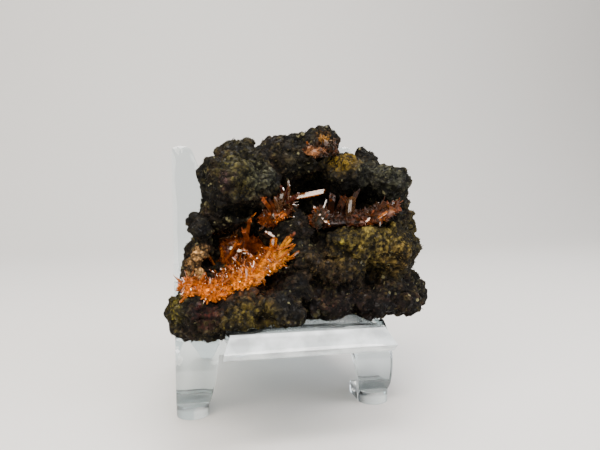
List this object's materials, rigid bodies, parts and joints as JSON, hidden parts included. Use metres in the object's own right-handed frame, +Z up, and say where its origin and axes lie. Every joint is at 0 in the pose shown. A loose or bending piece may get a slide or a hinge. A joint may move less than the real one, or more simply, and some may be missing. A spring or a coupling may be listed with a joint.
{
  "type": "crocoite specimen on an easel",
  "caption": "Knobbly dark brown mineral matrix with orange crocoite crystals lining its hollows, held upright on a clear bent acrylic display easel.",
  "frame": {"origin": "on the surface the easel stands on, under the middle of the whole part", "axes": "+Z up, -Y towards the viewer of the displayed face, +X to that viewer's right"},
  "size_m": [0.0812, 0.0982, 0.0862],
  "materials": {
    "acrylic": "polished clear sheet",
    "matrix": "rough, finely crystallised dark brown with olive and ochre areas",
    "crocoite": "glassy to greasy, translucent orange"
  },
  "bodies": {
    "root": {"easel": "acrylic", "matrix": "matrix", "crocoite_pocket": "crocoite", "crocoite_cluster": "crocoite", "crocoite_cavity": "crocoite", "crocoite_top": "crocoite"}
  },
  "joints": []
}
